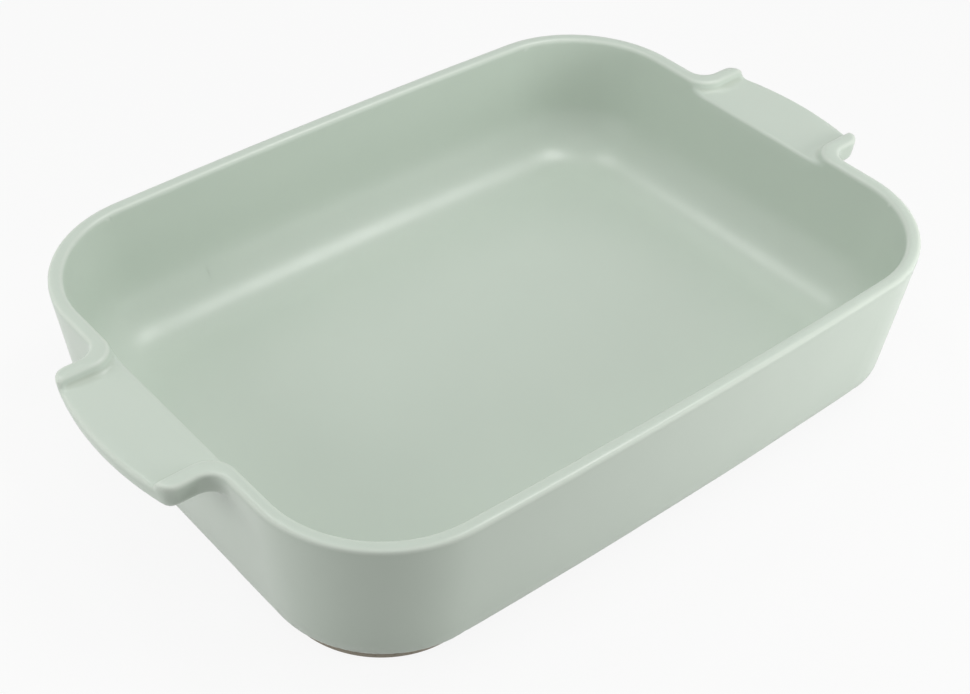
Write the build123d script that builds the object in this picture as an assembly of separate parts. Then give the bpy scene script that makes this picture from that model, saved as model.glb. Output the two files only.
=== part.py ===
from build123d import *
import math
import os

# Lasagna dish in glazed stoneware: a drafted pan with slightly bowed sides, a flat rim, a sunk tab
# handle at each short side and a bare foot ring. The real dish is one fired piece. It is divided
# here along its own forms into the pan, the two handles and the foot ring.
# Millimetres. X runs along the dish, Z is up, and the origin is on the table under its middle.

# Pan: length and width over the middle of the rim's sides, before its edges are bevelled
pan_length = 348.0
pan_width = 261.0
height = 69.6
end_bow = 1.0
length_per_side_bow = 87.0
corner_radius = 56.5
wall_draft = 6.9
rim_width = 7.0
floor_thickness = 6.0
cove_radius = 27.0
hem_bevel = 1.5
rim_bevel = 1.4

# Handle: a tab with an ear at each end, whose top carries the rim out to the tab's corner
handle_reach = 26.0
handles_per_width = 3.0
handle_bow = 6.0
handle_depth = 12.0
ear_width = 8.2
ear_tip_radius = 5.0
handle_fillet = 8.0
handle_bevel = 2.5

# Sunk top of the tab: it lies under the rim, rises a little outwards and flares into the pan
sink_depth = 4.8
sink_rise = 1.4
flare_radius = 12.0

# Foot ring: unglazed and set in from the pan's lower edge, with squarer corners than the pan's,
# so that it comes out nearly to the pan's edge there
foot_height = 3.0
foot_width = 5.0
foot_step = 1.8
foot_squareness = 4.0
foot_bevel = 0.8

# Room that a cut takes past the faces it cuts, and how near an edge must lie to be picked
overrun = 10.0
nearness = 0.05

# Places that follow from the sizes above
inner_floor = foot_height + floor_thickness
side_bow = pan_length / length_per_side_bow
pan_end = pan_length / 2
inner_end = pan_end - rim_width
handle_end = pan_end + handle_reach
handle_width = pan_width / handles_per_width
handle_side = handle_width / 2
mouth_side = handle_side - ear_width


def bowed_outline(inset, level, squareness=0.0):
    """Rounded rectangle with four bowed sides, drawn in from the rim's outer edge."""
    x = pan_end - inset
    y = pan_width / 2 - inset
    corner_x = x - end_bow
    corner_y = y - side_bow
    sides = [
        ThreePointArc((-corner_x, corner_y), (0, y), (corner_x, corner_y)),
        ThreePointArc((corner_x, corner_y), (x, 0), (corner_x, -corner_y)),
        ThreePointArc((corner_x, -corner_y), (0, -y), (-corner_x, -corner_y)),
        ThreePointArc((-corner_x, -corner_y), (-x, 0), (-corner_x, corner_y)),
    ]
    outline = make_face(sides)
    return Pos(0, 0, level) * fillet(outline.vertices(), corner_radius - inset - squareness)


def drafted_block(inset, bottom):
    """Solid from the rim down to a lower level, whose walls draw in as they go down."""
    return extrude(bowed_outline(inset, height), amount=bottom - height, taper=wall_draft)


def lowest_edges(shape):
    """The edges at the bottom of a shape."""
    return shape.edges().group_by(Axis.Z)[0]


def both_ends(shape):
    """A shape at the right-hand end, with its mirror image at the left-hand end."""
    return shape + mirror(shape, about=Plane.YZ)


def handled_outline():
    """The rim's outline with both tabs on it, and arcs where their sides meet the rim."""
    tip = handle_end - handle_bow
    tab = make_face(
        [
            Line((0, -handle_side), (tip, -handle_side)),
            ThreePointArc((tip, -handle_side), (handle_end, 0), (tip, handle_side)),
            Line((tip, handle_side), (0, handle_side)),
            Line((0, handle_side), (0, -handle_side)),
        ]
    )
    tab = fillet(tab.vertices().group_by(Axis.X)[-1], ear_tip_radius)
    outline = Pos(0, 0, height) * both_ends(tab) + bowed_outline(0, height)

    def is_nook(vertex):
        return abs(vertex.X) < pan_end and abs(abs(vertex.Y) - handle_side) < nearness

    return fillet(outline.vertices().filter_by(is_nook), handle_fillet)


def upper_block():
    """Solid of that outline down to the tabs' underside, with its lower edges bevelled."""
    upper = extrude(handled_outline(), amount=-handle_depth, taper=wall_draft)
    return chamfer(lowest_edges(upper), handle_bevel)


def sunk_top():
    """Cut that takes both tabs' tops down between the ears, through the rim into the pan."""
    far = handle_end + overrun
    slope = sink_rise / (handle_end - inner_end)
    lip = height - sink_depth
    mouth = bowed_outline(rim_width, height) + Pos(0, 0, height) * Rectangle(2 * far, 2 * mouth_side)

    def is_corner(vertex):
        return abs(vertex.X) < pan_end and abs(abs(vertex.Y) - mouth_side) < nearness

    mouth = fillet(mouth.vertices().filter_by(is_corner), flare_radius)
    upper = extrude(mouth, amount=-(sink_depth + sink_rise), taper=wall_draft)
    above_tab = Polyline(
        (0, lip - slope * inner_end),
        (far, lip + slope * (far - inner_end)),
        (far, height + overrun),
        (0, height + overrun),
        close=True,
    )
    half = extrude(Plane.XZ * make_face(above_tab), amount=handle_width, both=True)
    return upper & both_ends(half)


def sunk_edges(shape):
    """Edges of the sunk top, between its floor and the rim."""
    lowest = height - sink_depth - nearness
    return shape.edges().filter_by(lambda edge: lowest < edge.center().Z < height - nearness)


def bevel_upper_edges(shape):
    """Bevels both edges of the rim and ears, the ears' ends and the tab's outer edge."""

    def is_ear_end(edge):
        place = edge.center()
        past_middle = abs(place.X) > pan_end + handle_reach / 2
        within_ears = abs(place.Y) < handle_side - ear_width / 2
        return past_middle and within_ears and edge.bounding_box().size.Z > sink_depth / 2

    def is_tab_edge(edge):
        place = edge.center()
        return abs(place.X) > pan_end and abs(place.Y) < nearness

    edges = shape.edges().group_by(Axis.Z)[-1]
    edges += sunk_edges(shape).filter_by(is_ear_end)
    edges += sunk_edges(shape).filter_by(is_tab_edge)
    return chamfer(edges, rim_bevel)


def whole_dish(block):
    """Pan and handles as the mould forms them, in one."""
    dish = block + upper_block()
    cavity = drafted_block(rim_width, inner_floor)
    dish -= fillet(lowest_edges(cavity), cove_radius)
    dish -= sunk_top()
    return bevel_upper_edges(dish)


def foot_ring():
    """Low ring under the edge of the floor, with both lower edges bevelled."""
    draft_inset = (height - foot_height) * math.tan(math.radians(wall_draft))
    outer_inset = draft_inset + hem_bevel + foot_step
    outer = bowed_outline(outer_inset, 0, foot_squareness)
    inner = bowed_outline(outer_inset + foot_width, 0, foot_squareness)
    ring = extrude(outer - inner, amount=foot_height)
    return chamfer(lowest_edges(ring), foot_bevel)


block = drafted_block(0, foot_height)
block = chamfer(lowest_edges(block), hem_bevel)
dish = whole_dish(block)
handles = (dish - block).solids().sort_by(Axis.X)
nodes = {
    "dish_body": dish & block,
    "left_handle": handles[0],
    "right_handle": handles[-1],
    "foot_ring": foot_ring(),
}

os.makedirs("parts", exist_ok=True)
for name, shape in nodes.items():
    export_step(shape, f"parts/{name}.step")
    print(name, len(shape.solids()), "solid,", round(shape.volume), "mm3")
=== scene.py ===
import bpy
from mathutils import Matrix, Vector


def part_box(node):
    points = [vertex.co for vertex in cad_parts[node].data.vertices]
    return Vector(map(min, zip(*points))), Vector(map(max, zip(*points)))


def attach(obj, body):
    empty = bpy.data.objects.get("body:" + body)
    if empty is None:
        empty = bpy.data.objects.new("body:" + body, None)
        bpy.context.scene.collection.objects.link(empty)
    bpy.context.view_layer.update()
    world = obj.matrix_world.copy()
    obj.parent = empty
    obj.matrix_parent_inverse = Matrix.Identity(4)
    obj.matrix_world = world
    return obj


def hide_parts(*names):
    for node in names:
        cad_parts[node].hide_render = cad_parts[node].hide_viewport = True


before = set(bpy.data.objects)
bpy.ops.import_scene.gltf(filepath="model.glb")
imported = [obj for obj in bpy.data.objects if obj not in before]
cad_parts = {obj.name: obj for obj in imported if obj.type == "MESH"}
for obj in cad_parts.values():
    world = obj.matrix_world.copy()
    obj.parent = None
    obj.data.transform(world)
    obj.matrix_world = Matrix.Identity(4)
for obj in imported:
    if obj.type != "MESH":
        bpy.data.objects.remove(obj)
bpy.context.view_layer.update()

import math

import bpy
import numpy as np
import openvdb
from bpy.props import FloatProperty, FloatVectorProperty, PointerProperty
from bpy.types import Operator, Panel, PropertyGroup
from mathutils import Matrix, Vector, noise

bl_info = {
    "name": "Lasagna Dish",
    "version": (1, 0, 0),
    "blender": (4, 5, 0),
    "location": "3D View > Sidebar > Dish",
    "description": "Builds a glazed stoneware lasagna dish with its foot ring and a plain studio",
    "category": "Add Mesh",
}

MM = 0.001
IMAGE_WIDTH = 970

# Grid that the skin is drawn from: steps that it reaches past the middle and past the dish, steps
# that its field is kept to at each side of the surface, how far flat stretches get larger faces,
# and rounds that bring each point onto the surface
MIRROR_STEPS = 8
MARGIN_STEPS = 5
LEVEL_BAND_STEPS = 3
MESH_ADAPTIVITY = 0.06
PROJECTION_ROUNDS = 3

# Distance between one rise of the wavering surface and the next
WAVER_LENGTH = 45 * MM

# How far from the rim's outer edge, inwards and outwards, from the side of the sunk top and from
# the rim's level the lip between a sunk top and the pan starts to get its own softness or has it
LIP_FAR_IN = 26 * MM
LIP_NEAR_IN = 16 * MM
LIP_NEAR_OUT = 2 * MM
LIP_FAR_OUT = 10 * MM
LIP_ASIDE = 9 * MM
LIP_LOW = 3.6 * MM
LIP_HIGH = 1.2 * MM

# Largest share of the tip radius that the draft takes away
TIP_DRAWN_SHARE = 0.8

# Glaze: how sharply the surface curves, per millimetre, where the colour starts to change and where
# it has changed fully, over edges and in hollows, and how far it changes then. The paler edges are
# partly real glaze breaking and partly a painted highlight
EDGE_CURVES = (0.2, 0.6)
EDGE_SHARE = 0.5
HOLLOW_CURVES = (-0.05, -0.4)
HOLLOW_SHARE = 0.8

# Glaze: roughness where it fired glossiest and mattest
ROUGHNESS = (0.285, 0.34)

# Foot ring: pieces in each rounded edge, points round the ring, and how each point is searched for
FOOT_ROUND_STEPS = 5
FOOT_COLUMNS = 480
SEARCH_REACH = 400 * MM
SEARCH_ROUNDS = 40
CORE_REACH = 10

# Studio: half the side of the floor, and the height that the lights point at
FLOOR_REACH = 6.0
LIGHT_AIM = 40 * MM
WHITE = (1.0, 1.0, 1.0, 1.0)

# Camera: width of its sensor in millimetres, and the distances that it sees between
SENSOR_WIDTH = 36.0
CLIP_START = 10 * MM
CLIP_END = 50.0

# Lights: azimuth and elevation in degrees, distance, width and height in metres, the property
# with the power, and whether the glaze reflects the light
LIGHTS = {
    "right high light": (-5, 64, 1.1, 0.36, 0.36, "right_high", True),
    "back high light": (95, 62, 1.1, 0.3, 0.3, "back_high", True),
    "overhead light": (-131, 70, 0.7, 0.4, 0.3, "over", False),
    "left low light": (160, 18, 0.6, 0.4, 0.3, "left_low", False),
    "front low light": (-55, 14, 0.6, 0.3, 0.2, "front_low", False),
}

body_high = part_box("dish_body")[1]
handle_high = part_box("right_handle")[1]
foot_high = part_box("foot_ring")[1]


def linear(hex_colour):
    """Linear red, green, blue and alpha of an sRGB hex colour such as 'c4cfc1'."""
    channels = [int(hex_colour[i : i + 2], 16) / 255 for i in (0, 2, 4)]
    turned = [c / 12.92 if c <= 0.04045 else ((c + 0.055) / 1.055) ** 2.4 for c in channels]
    return (*turned, 1.0)


def length(name, description, millimetres):
    """A property that holds a length, with its default in millimetres."""
    return FloatProperty(
        name=name,
        description=description,
        default=millimetres * MM,
        min=0.0,
        precision=4,
        unit="LENGTH",
        subtype="DISTANCE",
    )


def coordinate(name, description, millimetres):
    """A property that holds a coordinate, with its default in millimetres."""
    return FloatProperty(
        name=name,
        description=description,
        default=millimetres * MM,
        precision=4,
        unit="LENGTH",
        subtype="DISTANCE",
    )


def angle(name, description, degrees):
    """A property that holds an angle, with its default in degrees."""
    return FloatProperty(
        name=name,
        description=description,
        default=math.radians(degrees),
        unit="ROTATION",
        subtype="ANGLE",
    )


def proportion(name, description, value):
    """A property that holds a share between zero and one."""
    return FloatProperty(
        name=name,
        description=description,
        default=value,
        min=0.0,
        max=1.0,
        subtype="FACTOR",
    )


def lamp_power(name, description, watts):
    """A property that holds the power of a lamp in watts."""
    return FloatProperty(
        name=name,
        description=description,
        default=watts,
        min=0.0,
        unit="POWER",
    )


def colour(name, description, hex_colour):
    """A property that holds a colour, with its default in sRGB hex."""
    return FloatVectorProperty(
        name=name,
        description=description,
        default=linear(hex_colour),
        min=0.0,
        max=1.0,
        size=4,
        subtype="COLOR",
    )


class DishSizes(PropertyGroup):
    """Sizes of the pan, its rim and its floor."""

    pan_length: length("Pan length", "Length over the middle of the rim's short sides", 348.0)
    pan_width: length("Pan width", "Width over the middle of the rim's long sides", 261.0)
    height: length("Height", "Height of the rim over the table", 69.6)
    end_bow: length("End bow", "How far each short side bows out", 1.0)
    side_bow: length("Side bow", "How far each long side bows out", 4.0)
    corner_radius: length("Corner radius", "Radius of the rim's corners", 56.5)
    wall_draft: angle("Wall draft", "How far the walls lean out as they rise", 6.9)
    rim_width: length("Rim width", "Width of the flat rim", 7.0)
    floor_level: length("Floor level", "Height of the inner floor over the table", 9.0)
    cove_radius: length("Cove radius", "Radius between the inner floor and the walls", 27.0)
    hem_radius: length("Hem radius", "Radius between the walls and the underside", 2.2)
    inner_round: length("Inner round", "Radius of the rim's inner edge", 1.8)
    outer_round: length("Outer round", "Radius of the rim's outer edge", 1.4)


class HandleSizes(PropertyGroup):
    """Sizes of the tab handles at the short sides."""

    reach: length("Reach", "How far a tab reaches out from the rim", 26.0)
    width: length("Width", "Width of a tab over its two ears", 87.0)
    bow: length("Bow", "How far the tab's outer edge bows out", 6.0)
    depth: length("Depth", "Depth of a tab under the rim", 12.0)
    ear_width: length("Ear width", "Width of the raised ear at each side of a tab", 8.2)
    tip_radius: length("Tip radius", "Radius of the tab's corners", 5.0)
    nook_radius: length("Nook radius", "Radius between a tab's side and the rim", 8.0)
    under_radius: length("Under radius", "Radius under the tab, where it meets the wall", 5.0)
    lower_round: length("Lower round", "Radius of the tab's lower edge", 2.6)
    sink_depth: length("Sink depth", "Depth of the sunk top under the rim, at the pan", 4.8)
    sink_rise: length("Sink rise", "How far the sunk top rises from the pan to its outer edge", 1.4)
    flare_radius: length("Flare radius", "Radius where the sunk top opens into the pan", 12.0)
    step_radius: length("Step radius", "Radius at the foot of the step up to the ears", 2.2)
    lip_softness: length("Lip softness", "How softly the sunk top turns down into the pan", 1.2)


class GlazeLook(PropertyGroup):
    """Colours and irregularity of the glaze."""

    field: colour("Glaze", "Colour of the glaze where it lies thick and even", "c4d0c4")
    cloud: colour("Cloud", "Colour of the glaze where it is a little thinner", "c9d4c8")
    # Paler over the edges: partly the glaze breaking thin there, partly a painted highlight
    breaking_and_highlight: colour("Breaking", "Colour of the glaze where it thins over an edge", "dce3d9")
    pooling: colour("Pooling", "Colour of the glaze where it gathers in a hollow", "b5c0b2")
    softness: length("Softness", "How softly the glaze rounds every edge", 0.7)
    waver: length("Waver", "How far the glazed surface wavers", 0.16)
    voxel: length("Detail", "Distance between the points that the surface is drawn from", 1.0)


class FootLook(PropertyGroup):
    """Sizes and colours of the unglazed foot ring."""

    width: length("Width", "Width of the ring", 5.0)
    set_in: length("Set in", "How far the ring is set in from the foot of the pan's wall", 3.3)
    squareness: length("Squareness", "How much tighter its corners are than an even inset leaves them", 4.0)
    edge_round: length("Edge round", "Radius of the ring's lower edges", 0.9)
    # Clay and grains: the bare clay's own colours, darkened as painted shade for the ring in shadow under
    # the dish
    clay: colour("Clay", "Colour of the bare clay", "b0a799")
    grog: colour("Grog", "Colour of the coarse grains in the clay", "8d8272")


class StudioLook(PropertyGroup):
    """The floor, the lights and the camera."""

    floor: colour("Floor", "Colour of the studio floor in its own light", "cececc")
    floor_glow: proportion("Floor glow", "How far the camera sees the floor as pure white", 0.9)
    right_high: lamp_power("Right high light", "Light whose reflection runs along the far long side", 3.0)
    back_high: lamp_power("Back high light", "Light whose reflection runs along the far short side", 1.5)
    over: lamp_power("Overhead light", "Light over the dish, on the camera's side", 0.75)
    left_low: lamp_power("Left low light", "Light near the left handle", 0.95)
    front_low: lamp_power("Front low light", "Light near the right end of the front side", 1.4)
    room: proportion("Room light", "Strength of the even light of the room", 0.32)
    azimuth: angle("Azimuth", "Camera's angle round the dish", -41.197)
    elevation: angle("Elevation", "Camera's angle over the horizon", 40.150)
    roll: angle("Roll", "Camera's tilt about its own line of sight", 2.080)
    distance: length("Distance", "Distance from the camera to the point that it looks at", 683.203)
    focal_pixels: FloatProperty(
        name="Focal length",
        description="Focal length in pixels of the picture",
        default=1679.11,
        min=1.0,
    )
    target_x: coordinate("Target X", "Where the camera looks, along the dish", -49.134)
    target_y: coordinate("Target Y", "Where the camera looks, across the dish", -51.715)


# Shapes are fields over space: below zero inside a solid, zero on its surface
def round_both(a, b, radius):
    """What lies inside both fields, with the edge between them rounded off."""
    outside = np.hypot(np.maximum(radius + a, 0), np.maximum(radius + b, 0))
    return np.minimum(-radius, np.maximum(a, b)) + outside


def round_either(a, b, radius):
    """What lies inside either field, with the corner between them filled by a fillet."""
    inside = np.hypot(np.maximum(radius - a, 0), np.maximum(radius - b, 0))
    return np.maximum(radius, np.minimum(a, b)) - inside


def rounded_corner(a, b, radius):
    """What lies inside both fields in plan, with a round corner of that radius."""
    outside = np.hypot(np.maximum(a + radius, 0), np.maximum(b + radius, 0))
    return outside + np.minimum(np.maximum(a, b) + radius, 0) - radius


def bowed_side(along, out, middle, half_chord, bow):
    """Distance past a side that bows out, with its ends half_chord from its middle."""
    arc = (half_chord**2 + bow**2) / (2 * bow)
    return np.hypot(along, out - (middle - arc)) - arc


def pan_plan(x, y, sizes, inset, drawn_in, squareness=0.0):
    """Plan of the pan at an inset from the rim's outer edge, drawn in further by the draft."""
    end = sizes.pan_length / 2
    side = sizes.pan_width / 2
    long_side = bowed_side(x, y, side, end - sizes.end_bow, sizes.side_bow)
    short_side = bowed_side(y, x, end, side - sizes.side_bow, sizes.end_bow)
    radius = sizes.corner_radius - inset - drawn_in - squareness
    return rounded_corner(long_side + inset + drawn_in, short_side + inset + drawn_in, radius)


def dish_field(x, y, z, sizes, handle):
    """Field of the whole dish, for points in the quarter where x and y are positive."""
    lean = math.cos(sizes.wall_draft)
    drawn_in = (sizes.height - z) * math.tan(sizes.wall_draft)
    end = sizes.pan_length / 2
    tip = end + handle.reach
    outer = pan_plan(x, y, sizes, 0.0, drawn_in)
    inner = pan_plan(x, y, sizes, sizes.rim_width, drawn_in)

    tab_side = y - handle.width / 2 + drawn_in
    tab_end = bowed_side(y, x, tip, handle.width / 2, handle.bow) + drawn_in
    tip_drawn = np.minimum(drawn_in, handle.tip_radius * TIP_DRAWN_SHARE)
    tab = rounded_corner(tab_side, tab_end, handle.tip_radius - tip_drawn)
    underside = sizes.height - handle.depth - z
    pan = round_both(outer * lean, foot_high.z - z, sizes.hem_radius)
    tab_block = round_both(tab * lean, underside, handle.lower_round)
    handled = round_either(outer, tab, handle.nook_radius + drawn_in)
    upper = round_both(handled * lean, underside, handle.lower_round)
    solid = np.minimum(round_either(pan, tab_block, handle.under_radius), upper)

    cavity = round_both(inner * lean, sizes.floor_level - z, sizes.cove_radius)
    slot = y - (handle.width / 2 - handle.ear_width) + drawn_in
    mouth = round_either(inner, slot, handle.flare_radius + drawn_in)
    inner_end = end - sizes.rim_width
    slope = handle.sink_rise / (tip - inner_end)
    tab_top = sizes.height - handle.sink_depth + slope * (x - inner_end)
    sunk = round_both(mouth * lean, tab_top - z, handle.step_radius)
    above_rim = z - sizes.height
    solid = round_both(solid, above_rim, sizes.outer_round)
    return round_both(solid, -np.minimum(cavity, sunk), sizes.inner_round)


def softened(field, sigma, step):
    """A field smoothed by a bell curve, which rounds its edges and leaves its planes in place."""
    reach = int(math.ceil(3 * sigma / step))
    offsets = np.arange(-reach, reach + 1)
    weights = np.exp(-0.5 * (offsets * step / sigma) ** 2)
    weights /= weights.sum()
    for axis in range(3):
        margins = [(reach, reach) if a == axis else (0, 0) for a in range(3)]
        padded = np.pad(field, margins, mode="edge")
        size = field.shape[axis]
        field = sum(w * np.take(padded, range(i, i + size), axis=axis) for i, w in enumerate(weights))
    return field


def smooth_step(value, low, high):
    """Zero below low, one above high, and a smooth rise between them."""
    risen = np.clip((value - low) / (high - low), 0, 1)
    return risen * risen * (3 - 2 * risen)


def sampled(grid, places):
    """Values of a grid between its points, at places counted in its steps."""
    base = np.floor(places).astype(int)
    base = np.clip(base, 0, np.array(grid.shape) - 2)
    part = places - base
    value = 0
    for corner in np.ndindex(2, 2, 2):
        weight = np.prod(np.where(corner, part, 1 - part), axis=1)
        i, j, k = (base + corner).T
        value = value + weight * grid[i, j, k]
    return value


def whole(quarter, overlap):
    """The grid of all four quarters, from the one where x and y are positive."""
    half = np.concatenate([quarter[:overlap:-1], quarter[overlap:]], axis=0)
    return np.concatenate([half[:, :overlap:-1], half[:, overlap:]], axis=1)


def lip_share(x, y, z, sizes, handle):
    """One at the lip where a sunk top turns down into the pan, and zero away from it."""
    end = sizes.pan_length / 2
    slot_side = handle.width / 2 - handle.ear_width
    past_pan = smooth_step(np.abs(x), end - LIP_FAR_IN, end - LIP_NEAR_IN)
    before_tab = 1 - smooth_step(np.abs(x), end + LIP_NEAR_OUT, end + LIP_FAR_OUT)
    between_ears = 1 - smooth_step(np.abs(y), slot_side, slot_side + LIP_ASIDE)
    under_rim = 1 - smooth_step(z, sizes.height - LIP_LOW, sizes.height - LIP_HIGH)
    return past_pan * before_tab * between_ears * under_rim


def skin_mesh(name, sizes, handle, look):
    """Mesh of the glazed dish, with exact normals and a measure of how it curves at each point."""
    step = look.voxel
    nx = int(math.ceil(handle_high.x / step)) + MARGIN_STEPS
    ny = int(math.ceil(body_high.y / step)) + MARGIN_STEPS
    z_low = foot_high.z - MARGIN_STEPS * step
    nz = int(math.ceil((body_high.z - z_low) / step)) + MARGIN_STEPS
    x = (np.arange(-MIRROR_STEPS, nx) * step).reshape(-1, 1, 1)
    y = (np.arange(-MIRROR_STEPS, ny) * step).reshape(1, -1, 1)
    z = (z_low + np.arange(nz) * step).reshape(1, 1, -1)
    sharp = dish_field(np.abs(x), np.abs(y), z, sizes, handle)
    soft = softened(sharp, look.softness, step)
    softer = softened(sharp, handle.lip_softness, step)
    field = soft + lip_share(x, y, z, sizes, handle) * (softer - soft)
    field = whole(field, MIRROR_STEPS).astype(np.float32)

    band = LEVEL_BAND_STEPS * step
    level = openvdb.FloatGrid(band)
    level.copyFromArray(np.clip(field, -band, band))
    points, triangles, quads = level.convertToPolygons(isovalue=0.0, adaptivity=MESH_ADAPTIVITY)
    places = np.array(points, float)
    gradients = [g / step for g in np.gradient(field)]
    curving = sum(np.gradient(g, step, axis=axis) for axis, g in enumerate(gradients))
    for _ in range(PROJECTION_ROUNDS):
        slope = np.stack([sampled(g, places) for g in gradients], axis=1)
        error = sampled(field, places)
        places -= (error / np.sum(slope**2, axis=1))[:, None] * slope / step
    slope = np.stack([sampled(g, places) for g in gradients], axis=1)
    normals = slope / np.linalg.norm(slope, axis=1)[:, None]
    curves = sampled(curving, places)
    middle = np.array([(field.shape[0] - 1) / 2, (field.shape[1] - 1) / 2, 0.0])
    co = (places - middle) * step + np.array([0.0, 0.0, z_low])

    waver = np.array([noise.noise(Vector(p) / WAVER_LENGTH) for p in co])
    co = co - normals * (look.waver * (0.5 + 0.5 * waver))[:, None]

    faces = [tuple(map(int, f)) for f in triangles] + [tuple(map(int, f)) for f in quads]
    mesh = bpy.data.meshes.new(name)
    mesh.from_pydata(co.tolist(), [], faces)
    mesh.validate()
    mesh.polygons.foreach_set("use_smooth", [True] * len(mesh.polygons))
    first = mesh.polygons[0]
    if first.normal.dot(Vector(normals[first.vertices[0]])) < 0:
        mesh.flip_normals()
    mesh.normals_split_custom_set_from_vertices(normals.tolist())
    curve = mesh.attributes.new("curve", "FLOAT", "POINT")
    curve.data.foreach_set("value", (curves * MM).astype(np.float32))
    return mesh


def foot_mesh(name, sizes, look):
    """Mesh of the foot ring: a soft-edged band that follows the pan's lower edge."""
    drawn_in = (sizes.height - foot_high.z) * math.tan(sizes.wall_draft)
    outer_inset = drawn_in + look.set_in
    r = look.edge_round
    profile = [(0.0, foot_high.z)]
    for i in range(FOOT_ROUND_STEPS + 1):
        a = math.pi / 2 * i / FOOT_ROUND_STEPS
        profile.append((r - r * math.cos(a), r - r * math.sin(a)))
    for i in range(FOOT_ROUND_STEPS + 1):
        a = math.pi / 2 * i / FOOT_ROUND_STEPS
        profile.append((look.width - r + r * math.sin(a), r - r * math.cos(a)))
    profile.append((look.width, foot_high.z))
    columns = FOOT_COLUMNS
    rows = len(profile)
    points = []
    for inset, level in profile:
        loop = plan_loop(sizes, outer_inset + inset, look.squareness, columns)
        points += [(*p, level) for p in loop]
    faces = []
    for i in range(rows):
        for j in range(columns):
            a, b = i, (i + 1) % rows
            k = (j + 1) % columns
            faces.append((a * columns + j, a * columns + k, b * columns + k, b * columns + j))
    mesh = bpy.data.meshes.new(name)
    mesh.from_pydata(points, [], faces)
    mesh.validate()
    mesh.polygons.foreach_set("use_smooth", [True] * len(mesh.polygons))
    return mesh


def plan_loop(sizes, inset, squareness, columns):
    """Points round the pan's plan at an inset, found along rays from inside it."""
    points = []
    reach_x = sizes.pan_length / 2 - sizes.corner_radius
    reach_y = sizes.pan_width / 2 - sizes.corner_radius
    for j in range(columns):
        turn = 2 * math.pi * (j + 0.5) / columns
        c, s = math.cos(turn), math.sin(turn)
        core_x = max(-reach_x, min(reach_x, c * CORE_REACH))
        core_y = max(-reach_y, min(reach_y, s * CORE_REACH))
        low, high = 0.0, SEARCH_REACH
        for _ in range(SEARCH_ROUNDS):
            far = (low + high) / 2
            px, py = core_x + c * far, core_y + s * far
            if pan_plan(abs(px), abs(py), sizes, inset, 0.0, squareness) < 0:
                low = far
            else:
                high = far
        points.append((core_x + c * low, core_y + s * low))
    return points


def add(tree, kind, links=(), **settings):
    """Adds a node, sets what settings names and links its inputs from other nodes' outputs."""
    node = tree.nodes.new(kind)
    for name, value in settings.items():
        if name.startswith("in_"):
            key = name[3:]
            node.inputs[int(key) if key.isdigit() else key.replace("_", " ")].default_value = value
        else:
            setattr(node, name, value)
    for key, output in dict(links).items():
        tree.links.new(output, node.inputs[key])
    return node


def new_material(name):
    """An empty node material with its output node."""
    material = bpy.data.materials.new(name)
    material.use_nodes = True
    material.node_tree.nodes.clear()
    out = material.node_tree.nodes.new("ShaderNodeOutputMaterial")
    return material, material.node_tree, out


def glazed_stoneware(look):
    """Stoneware dipped in a sage green satin glaze."""
    # Dipped and fired: an even, opaque colour with broad soft highlights, paler over the edges, partly
    # as the glaze breaks there and partly as a painted highlight
    material, tree, out = new_material("satin glazed stoneware")
    place = add(tree, "ShaderNodeTexCoord").outputs["Object"]
    # Clouds in the glaze, about 60 mm across, as the dip leaves them
    clouds = add(
        tree,
        "ShaderNodeTexNoise",
        {"Vector": place},
        in_Scale=1 / (60 * MM),
        in_Detail=3.0,
        in_Roughness=0.5,
    )
    cloud = add(
        tree,
        "ShaderNodeMix",
        {"Factor": clouds.outputs["Fac"]},
        data_type="RGBA",
        in_6=look.field,
        in_7=look.cloud,
    )
    # The glaze breaks paler over convex edges, which also paints in part of their highlight, and it
    # gathers deeper in hollows
    curve = add(tree, "ShaderNodeAttribute", attribute_name="curve").outputs["Fac"]
    edge = add(
        tree,
        "ShaderNodeMapRange",
        {"Value": curve},
        interpolation_type="SMOOTHSTEP",
        in_1=EDGE_CURVES[0],
        in_2=EDGE_CURVES[1],
        in_3=0.0,
        in_4=EDGE_SHARE,
    )
    hollow = add(
        tree,
        "ShaderNodeMapRange",
        {"Value": curve},
        interpolation_type="SMOOTHSTEP",
        in_1=HOLLOW_CURVES[0],
        in_2=HOLLOW_CURVES[1],
        in_3=0.0,
        in_4=HOLLOW_SHARE,
    )
    broken_and_highlit = add(
        tree,
        "ShaderNodeMix",
        {"Factor": edge.outputs[0], 6: cloud.outputs[2]},
        data_type="RGBA",
        in_7=look.breaking_and_highlight,
    )
    pooled = add(
        tree,
        "ShaderNodeMix",
        {"Factor": hollow.outputs[0], 6: broken_and_highlit.outputs[2]},
        data_type="RGBA",
        in_7=look.pooling,
    )
    # Satin sheen that changes a little from place to place, about 25 mm across
    sheen = add(tree, "ShaderNodeTexNoise", {"Vector": place}, in_Scale=1 / (25 * MM), in_Detail=2.0)
    rough = add(
        tree,
        "ShaderNodeMapRange",
        {"Value": sheen.outputs["Fac"]},
        in_1=0.3,
        in_2=0.7,
        in_3=ROUGHNESS[0],
        in_4=ROUGHNESS[1],
    )
    # Orange peel of a fired glaze, about 3 mm across and some hundredths of a millimetre high
    peel = add(tree, "ShaderNodeTexNoise", {"Vector": place}, in_Scale=1 / (3 * MM), in_Detail=1.5)
    bump = add(
        tree,
        "ShaderNodeBump",
        {"Height": peel.outputs["Fac"]},
        in_Strength=0.35,
        in_Distance=0.06 * MM,
    )
    links = {
        "Base Color": pooled.outputs[2],
        "Roughness": rough.outputs[0],
        "Normal": bump.outputs["Normal"],
    }
    shader = add(tree, "ShaderNodeBsdfPrincipled", links, in_IOR=1.5)
    tree.links.new(shader.outputs["BSDF"], out.inputs["Surface"])
    return material


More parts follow.
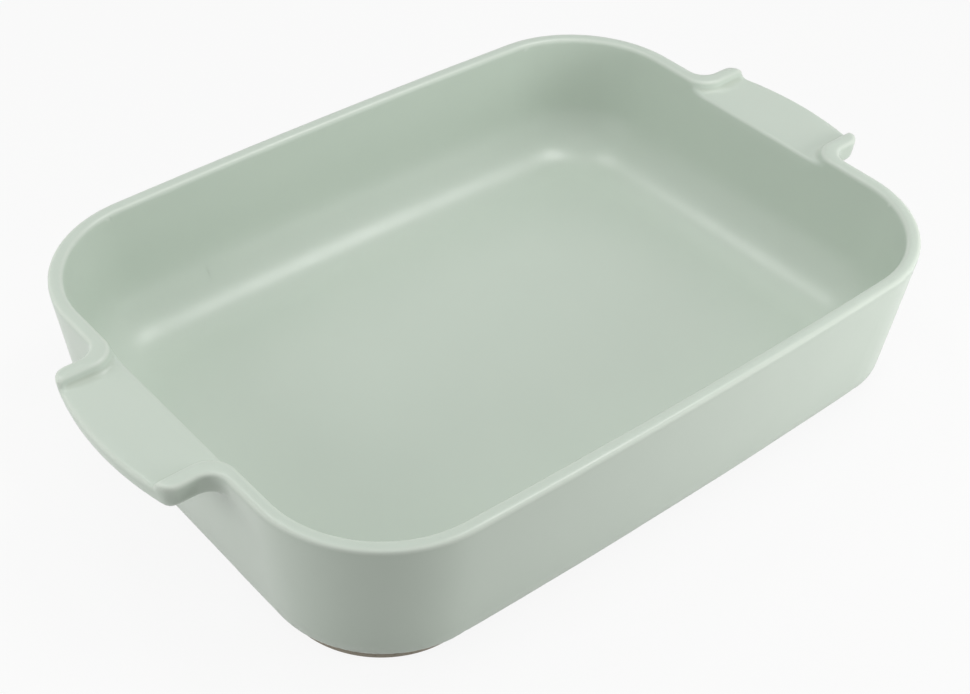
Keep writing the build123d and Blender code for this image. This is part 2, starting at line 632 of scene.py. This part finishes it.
def bare_clay_with_painted_shade(look):
    """Unglazed stoneware of the foot ring, matt, gritty and flecked with coarse grains."""
    # Wiped bare before firing: dull and speckled, without any highlight. Its warm grey is the clay's own
    # colour darkened as painted shade, as the ring stands in shadow on the floor
    material, tree, out = new_material("bare stoneware clay")
    place = add(tree, "ShaderNodeTexCoord").outputs["Object"]
    # Coarse grains in the clay, drawn about 1.6 mm apart, because real ones are too fine to show
    grains = add(tree, "ShaderNodeTexVoronoi", {"Vector": place}, in_Scale=1 / (1.6 * MM))
    flecks = add(
        tree,
        "ShaderNodeMapRange",
        {"Value": grains.outputs["Distance"]},
        in_1=0.12,
        in_2=0.3,
        in_3=0.8,
        in_4=0.0,
    )
    tone = add(
        tree,
        "ShaderNodeMix",
        {"Factor": flecks.outputs[0]},
        data_type="RGBA",
        in_6=look.clay,
        in_7=look.grog,
    )
    # Grit of the wiped clay, about 0.8 mm across and up to a tenth of a millimetre high
    grit = add(tree, "ShaderNodeTexNoise", {"Vector": place}, in_Scale=1 / (0.8 * MM), in_Detail=4.0)
    bump = add(
        tree,
        "ShaderNodeBump",
        {"Height": grit.outputs["Fac"]},
        in_Strength=0.6,
        in_Distance=0.1 * MM,
    )
    shader = add(
        tree,
        "ShaderNodeBsdfPrincipled",
        {"Base Color": tone.outputs[2], "Normal": bump.outputs["Normal"]},
        in_Roughness=0.85,
        in_IOR=1.5,
    )
    tree.links.new(shader.outputs["BSDF"], out.inputs["Surface"])
    return material


def placed(name, mesh, material):
    """A new object with that mesh and material, in the scene."""
    mesh.materials.append(material)
    piece = bpy.data.objects.new(name, mesh)
    bpy.context.scene.collection.objects.link(piece)
    return piece


class DISH_OT_glazed_dish(Operator):
    """Build the glazed dish: the pan with its rim and both tab handles, as one skin"""

    bl_idname = "dish.glazed_dish"
    bl_label = "Glazed Dish"

    def execute(self, context):
        scene = context.scene
        mesh = skin_mesh("glazed_dish", scene.dish_sizes, scene.dish_handle, scene.dish_glaze)
        piece = placed("glazed_dish", mesh, glazed_stoneware(scene.dish_glaze))
        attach(piece, "root")
        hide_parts("dish_body", "left_handle", "right_handle")
        return {"FINISHED"}


class DISH_OT_foot_ring(Operator):
    """Build the foot ring of bare clay under the dish"""

    bl_idname = "dish.foot_ring"
    bl_label = "Foot Ring"

    def execute(self, context):
        scene = context.scene
        mesh = foot_mesh("foot", scene.dish_sizes, scene.dish_foot)
        piece = placed("foot", mesh, bare_clay_with_painted_shade(scene.dish_foot))
        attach(piece, "root")
        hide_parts("foot_ring")
        return {"FINISHED"}


def soft_light(name, azimuth, elevation, distance, width, height, watts, reflected):
    """A rectangular soft light that points at the dish, seen in the glaze only if reflected."""
    turn, rise = math.radians(azimuth), math.radians(elevation)
    aside = Vector((math.cos(turn), math.sin(turn), 0.0)) * math.cos(rise)
    towards = aside + Vector((0.0, 0.0, math.sin(rise)))
    lamp = bpy.data.lights.new(name, "AREA")
    lamp.shape = "RECTANGLE"
    lamp.size = width
    lamp.size_y = height
    lamp.energy = watts
    light = bpy.data.objects.new(name, lamp)
    light.location = Vector((0.0, 0.0, LIGHT_AIM)) + towards * distance
    light.rotation_mode = "QUATERNION"
    light.rotation_quaternion = towards.to_track_quat("Z", "Y")
    light.visible_glossy = reflected
    bpy.context.scene.collection.objects.link(light)
    return light


def seen_directly(tree):
    """One for a ray from the camera, off a glossy surface or through glass, else zero."""
    path = add(tree, "ShaderNodeLightPath").outputs
    links = {0: path["Is Camera Ray"], 1: path["Is Glossy Ray"]}
    outright = add(tree, "ShaderNodeMath", links, operation="MAXIMUM")
    links = {0: outright.outputs[0], 1: path["Is Transmission Ray"]}
    return add(tree, "ShaderNodeMath", links, operation="MAXIMUM").outputs[0]


class DISH_OT_studio(Operator):
    """Set up the plain floor, the soft light and the camera"""

    bl_idname = "dish.studio"
    bl_label = "Studio"

    def execute(self, context):
        scene = context.scene
        look = scene.dish_studio

        mesh = bpy.data.meshes.new("floor")
        signs = ((-1, -1), (1, -1), (1, 1), (-1, 1))
        corners = [(x * FLOOR_REACH, y * FLOOR_REACH, 0) for x, y in signs]
        mesh.from_pydata(corners, [], [(0, 1, 2, 3)])
        material, tree, out = new_material("matt pale studio floor")
        paint = add(tree, "ShaderNodeBsdfPrincipled", in_Base_Color=look.floor, in_Roughness=0.9)
        glow = add(tree, "ShaderNodeEmission", in_Color=WHITE, in_Strength=1.0)
        # The camera sees the floor nearly white, with the dish's shadow left faintly on it
        links = {0: seen_directly(tree)}
        seen = add(tree, "ShaderNodeMath", links, operation="MULTIPLY", in_1=look.floor_glow)
        links = {0: seen.outputs[0], 1: paint.outputs["BSDF"], 2: glow.outputs[0]}
        mix = add(tree, "ShaderNodeMixShader", links)
        tree.links.new(mix.outputs[0], out.inputs["Surface"])
        floor = placed("floor", mesh, material)

        world = bpy.data.worlds.new("studio")
        scene.world = world
        world.use_nodes = True
        tree = world.node_tree
        tree.nodes.clear()
        out = tree.nodes.new("ShaderNodeOutputWorld")
        room = add(tree, "ShaderNodeBackground", in_Color=WHITE, in_Strength=look.room)
        white = add(tree, "ShaderNodeBackground", in_Color=WHITE, in_Strength=1.0)
        links = {0: seen_directly(tree), 1: room.outputs[0], 2: white.outputs[0]}
        mix = add(tree, "ShaderNodeMixShader", links)
        tree.links.new(mix.outputs[0], out.inputs["Surface"])

        for name, (azimuth, elevation, distance, width, height, key, reflected) in LIGHTS.items():
            watts = getattr(look, key)
            soft_light(name, azimuth, elevation, distance, width, height, watts, reflected)

        a, e = look.azimuth, look.elevation
        back = Vector((math.sin(a) * math.cos(e), -math.cos(a) * math.cos(e), math.sin(e)))
        right = Vector((math.cos(a), math.sin(a), 0.0))
        up = back.cross(right)
        turn = look.roll
        level_right, level_up = right, up
        right = level_right * math.cos(turn) + level_up * math.sin(turn)
        up = level_up * math.cos(turn) - level_right * math.sin(turn)
        target = Vector((look.target_x, look.target_y, scene.dish_sizes.height))
        axes = Matrix((right, up, back)).transposed().to_4x4()
        lens = bpy.data.cameras.new("camera")
        lens.sensor_fit = "HORIZONTAL"
        lens.sensor_width = SENSOR_WIDTH
        lens.lens = look.focal_pixels * lens.sensor_width / IMAGE_WIDTH
        lens.clip_start = CLIP_START
        lens.clip_end = CLIP_END
        camera = bpy.data.objects.new("camera", lens)
        camera.matrix_world = Matrix.Translation(target + back * look.distance) @ axes
        scene.collection.objects.link(camera)
        bpy.context.scene.camera = camera
        scene.view_settings.view_transform = "Standard"
        return {"FINISHED"}


OPERATORS = (DISH_OT_glazed_dish, DISH_OT_foot_ring, DISH_OT_studio)


class DISH_PT_panel(Panel):
    """Sizes, looks and building steps of the dish"""

    bl_idname = "DISH_PT_panel"
    bl_label = "Lasagna Dish"
    bl_space_type = "VIEW_3D"
    bl_region_type = "UI"
    bl_category = "Dish"

    def draw(self, context):
        layout = self.layout
        for operator in OPERATORS:
            layout.operator(operator.bl_idname)
        for name, kind in GROUPS.items():
            group = getattr(context.scene, name)
            box = layout.box()
            box.label(text=kind.__doc__)
            for key in kind.__annotations__:
                box.prop(group, key)


GROUPS = {
    "dish_sizes": DishSizes,
    "dish_handle": HandleSizes,
    "dish_glaze": GlazeLook,
    "dish_foot": FootLook,
    "dish_studio": StudioLook,
}


def register():
    for kind in (*GROUPS.values(), *OPERATORS, DISH_PT_panel):
        bpy.utils.register_class(kind)
    for name, kind in GROUPS.items():
        setattr(bpy.types.Scene, name, PointerProperty(type=kind))


def unregister():
    for name in GROUPS:
        delattr(bpy.types.Scene, name)
    for kind in reversed((*GROUPS.values(), *OPERATORS, DISH_PT_panel)):
        bpy.utils.unregister_class(kind)


def main():
    register()
    bpy.ops.dish.glazed_dish()
    bpy.ops.dish.foot_ring()
    bpy.ops.dish.studio()


if __name__ == "__main__":
    main()
